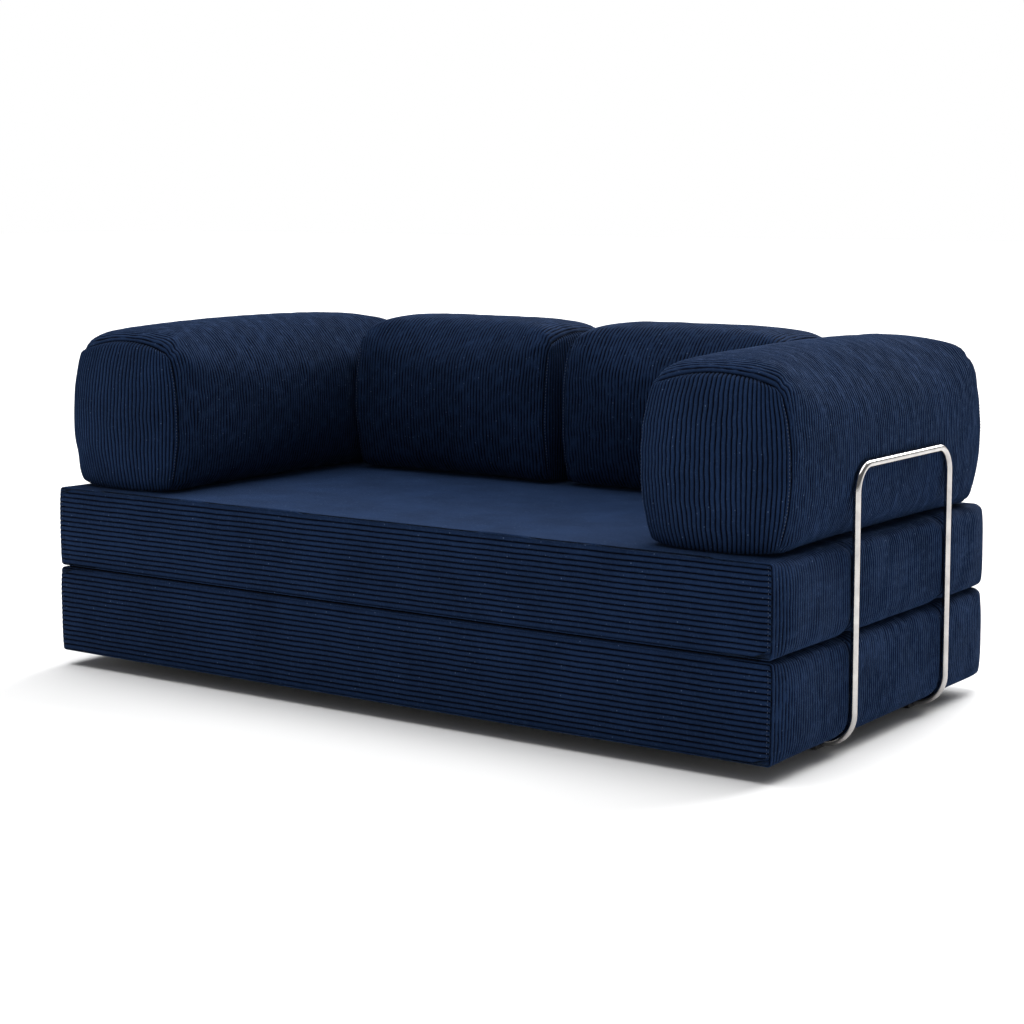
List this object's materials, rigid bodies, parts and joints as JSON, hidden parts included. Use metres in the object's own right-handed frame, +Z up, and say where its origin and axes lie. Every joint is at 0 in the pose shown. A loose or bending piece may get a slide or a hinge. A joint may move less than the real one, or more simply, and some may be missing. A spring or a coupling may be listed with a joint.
{
  "type": "futon sofa bed",
  "caption": "Low sofa of stacked fold-out corduroy mattresses with loose square bolsters for arms and back, held by slide-in steel tube hoops.",
  "frame": {"origin": "on the floor, under the centre of the mattresses", "axes": "+X along the sofa to its right end, +Y from the front edge to the back, +Z up"},
  "size_m": [1.956, 1.0337, 0.8124],
  "materials": {
    "corduroy": "matte",
    "foam": "matte",
    "steel": "satin",
    "black_plastic": "matte",
    "foot_rubber": "matte",
    "screw_steel": "satin",
    "plywood": "satin",
    "zip_tape": "matte",
    "zip_metal": "satin"
  },
  "bodies": {
    "base": {"back_left_hoop_inner_guides": "black_plastic", "back_left_hoop_outer_guides": "black_plastic", "back_right_hoop_inner_guides": "black_plastic", "back_right_hoop_outer_guides": "black_plastic", "base_board_left": "plywood", "base_board_right": "plywood", "batten_feet": "black_plastic", "batten_screws": "screw_steel", "board_feet": "black_plastic", "foot_pads": "foot_rubber", "foot_screws": "screw_steel", "guide_screws": "screw_steel", "hinge_strip_lower": "corduroy", "joining_batten": "plywood", "left_hoop_inner_guides": "black_plastic", "left_hoop_outer_guides": "black_plastic", "lower_cover_sheet": "corduroy", "lower_foam": "foam", "lower_front_panel": "corduroy", "lower_rear_panel": "corduroy", "lower_zip": "zip_tape", "right_hoop_inner_guides": "black_plastic", "right_hoop_outer_guides": "black_plastic"},
    "left_arm_bolster": {"left_arm_cover_sheet": "corduroy", "left_arm_end_panels": "corduroy", "left_arm_foam": "foam", "left_arm_zip": "zip_tape"},
    "left_arm_zip_puller": {"left_arm_zip_slider": "zip_metal"},
    "right_arm_bolster": {"right_arm_cover_sheet": "corduroy", "right_arm_end_panels": "corduroy", "right_arm_foam": "foam", "right_arm_zip": "zip_tape"},
    "right_arm_zip_puller": {"right_arm_zip_slider": "zip_metal"},
    "back_left_bolster": {"back_left_cover_sheet": "corduroy", "back_left_end_panels": "corduroy", "back_left_foam": "foam", "back_left_zip": "zip_tape"},
    "back_left_zip_puller": {"back_left_zip_slider": "zip_metal"},
    "back_right_bolster": {"back_right_cover_sheet": "corduroy", "back_right_end_panels": "corduroy", "back_right_foam": "foam", "back_right_zip": "zip_tape"},
    "back_right_zip_puller": {"back_right_zip_slider": "zip_metal"},
    "left_hoop_frame": {"left_hoop": "steel", "left_hoop_plugs": "black_plastic"},
    "right_hoop_frame": {"right_hoop": "steel", "right_hoop_plugs": "black_plastic"},
    "back_left_hoop_frame": {"back_left_hoop": "steel", "back_left_hoop_plugs": "black_plastic"},
    "back_right_hoop_frame": {"back_right_hoop": "steel", "back_right_hoop_plugs": "black_plastic"},
    "upper_mattress": {"upper_cover_sheet": "corduroy", "upper_front_panel": "corduroy", "upper_rear_panel": "corduroy", "upper_foam": "foam", "upper_zip": "zip_tape", "hinge_strip_upper": "corduroy"},
    "upper_zip_puller": {"upper_zip_slider": "zip_metal"},
    "lower_zip_puller": {"lower_zip_slider": "zip_metal"}
  },
  "joints": [
    {"name": "bed_unfold", "type": "hinge", "parent": "base", "child": "upper_mattress", "pos_m": [0, -0.506, 0.238], "axis": [1, 0, 0], "range_deg": [0, 182.6]},
    {"name": "left_arm_carry", "type": "hinge", "parent": "upper_mattress", "child": "left_arm_bolster", "pos_m": [0, 0.512, 0.4272], "axis": [1, 0, 0], "range_deg": [-182.6, 0]},
    {"name": "right_arm_carry", "type": "hinge", "parent": "upper_mattress", "child": "right_arm_bolster", "pos_m": [0, 0.512, 0.4272], "axis": [1, 0, 0], "range_deg": [-182.6, 0]},
    {"name": "back_left_carry", "type": "hinge", "parent": "upper_mattress", "child": "back_left_bolster", "pos_m": [0, 0.512, 0.4272], "axis": [1, 0, 0], "range_deg": [-182.6, 0]},
    {"name": "back_right_carry", "type": "hinge", "parent": "upper_mattress", "child": "back_right_bolster", "pos_m": [0, 0.512, 0.4272], "axis": [1, 0, 0], "range_deg": [-182.6, 0]},
    {"name": "left_hoop_slide", "type": "slide", "parent": "base", "child": "left_hoop_frame", "axis": [-1, 0, 0], "range_m": [0, 0.24]},
    {"name": "right_hoop_slide", "type": "slide", "parent": "base", "child": "right_hoop_frame", "axis": [1, 0, 0], "range_m": [0, 0.24]},
    {"name": "back_left_hoop_slide", "type": "slide", "parent": "base", "child": "back_left_hoop_frame", "axis": [0, 1, 0], "range_m": [0, 0.24]},
    {"name": "back_right_hoop_slide", "type": "slide", "parent": "base", "child": "back_right_hoop_frame", "axis": [0, 1, 0], "range_m": [0, 0.24]},
    {"name": "lower_zip_run", "type": "slide", "parent": "base", "child": "lower_zip_puller", "axis": [-1, 0, 0], "range_m": [0, 1.5]},
    {"name": "upper_zip_run", "type": "slide", "parent": "upper_mattress", "child": "upper_zip_puller", "axis": [-1, 0, 0], "range_m": [0, 1.5]},
    {"name": "left_arm_zip_run", "type": "slide", "parent": "left_arm_bolster", "child": "left_arm_zip_puller", "axis": [-1, 0, 0], "range_m": [0, 0.18]},
    {"name": "right_arm_zip_run", "type": "slide", "parent": "right_arm_bolster", "child": "right_arm_zip_puller", "axis": [-1, 0, 0], "range_m": [0, 0.18]},
    {"name": "back_left_zip_run", "type": "slide", "parent": "back_left_bolster", "child": "back_left_zip_puller", "axis": [-1, 0, 0], "range_m": [0, 0.44]},
    {"name": "back_right_zip_run", "type": "slide", "parent": "back_right_bolster", "child": "back_right_zip_puller", "axis": [-1, 0, 0], "range_m": [0, 0.44]}
  ],
  "couplings": [
    {"joint": "left_arm_carry", "follows": "bed_unfold", "ratio": -1},
    {"joint": "right_arm_carry", "follows": "bed_unfold", "ratio": -1},
    {"joint": "back_left_carry", "follows": "bed_unfold", "ratio": -1},
    {"joint": "back_right_carry", "follows": "bed_unfold", "ratio": -1}
  ]
}
